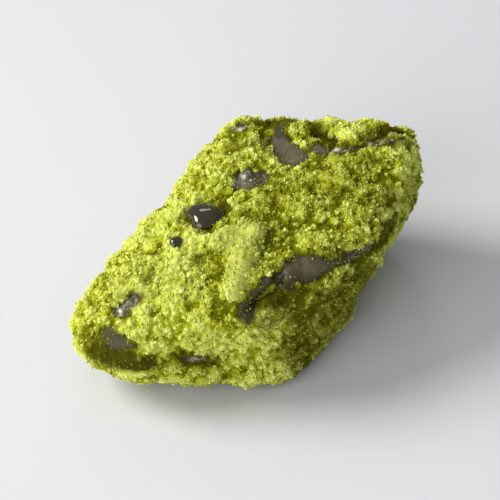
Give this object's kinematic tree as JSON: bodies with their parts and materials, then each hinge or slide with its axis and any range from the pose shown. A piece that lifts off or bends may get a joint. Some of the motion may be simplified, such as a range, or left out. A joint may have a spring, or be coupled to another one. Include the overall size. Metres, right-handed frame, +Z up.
{
  "type": "matcha warabi mochi",
  "caption": "Soft rounded block of bracken-starch jelly rolled in green tea powder, with bare glossy patches where the powder has slipped, resting on a flat foot.",
  "frame": {"origin": "on the surface that the piece rests on, under the middle of the piece", "axes": "+X to the piece's right end as the picture shows it, +Y away from the viewer, +Z up"},
  "size_m": [0.0332, 0.026, 0.0164],
  "materials": {
    "matcha_coat": "soft dry powder, bright yellow-green, lumpy and fully matt",
    "jelly": "wet starch jelly, dark grey-green, smooth and glossy"
  },
  "bodies": {
    "root": {"mochi": "matcha_coat"}
  },
  "joints": []
}
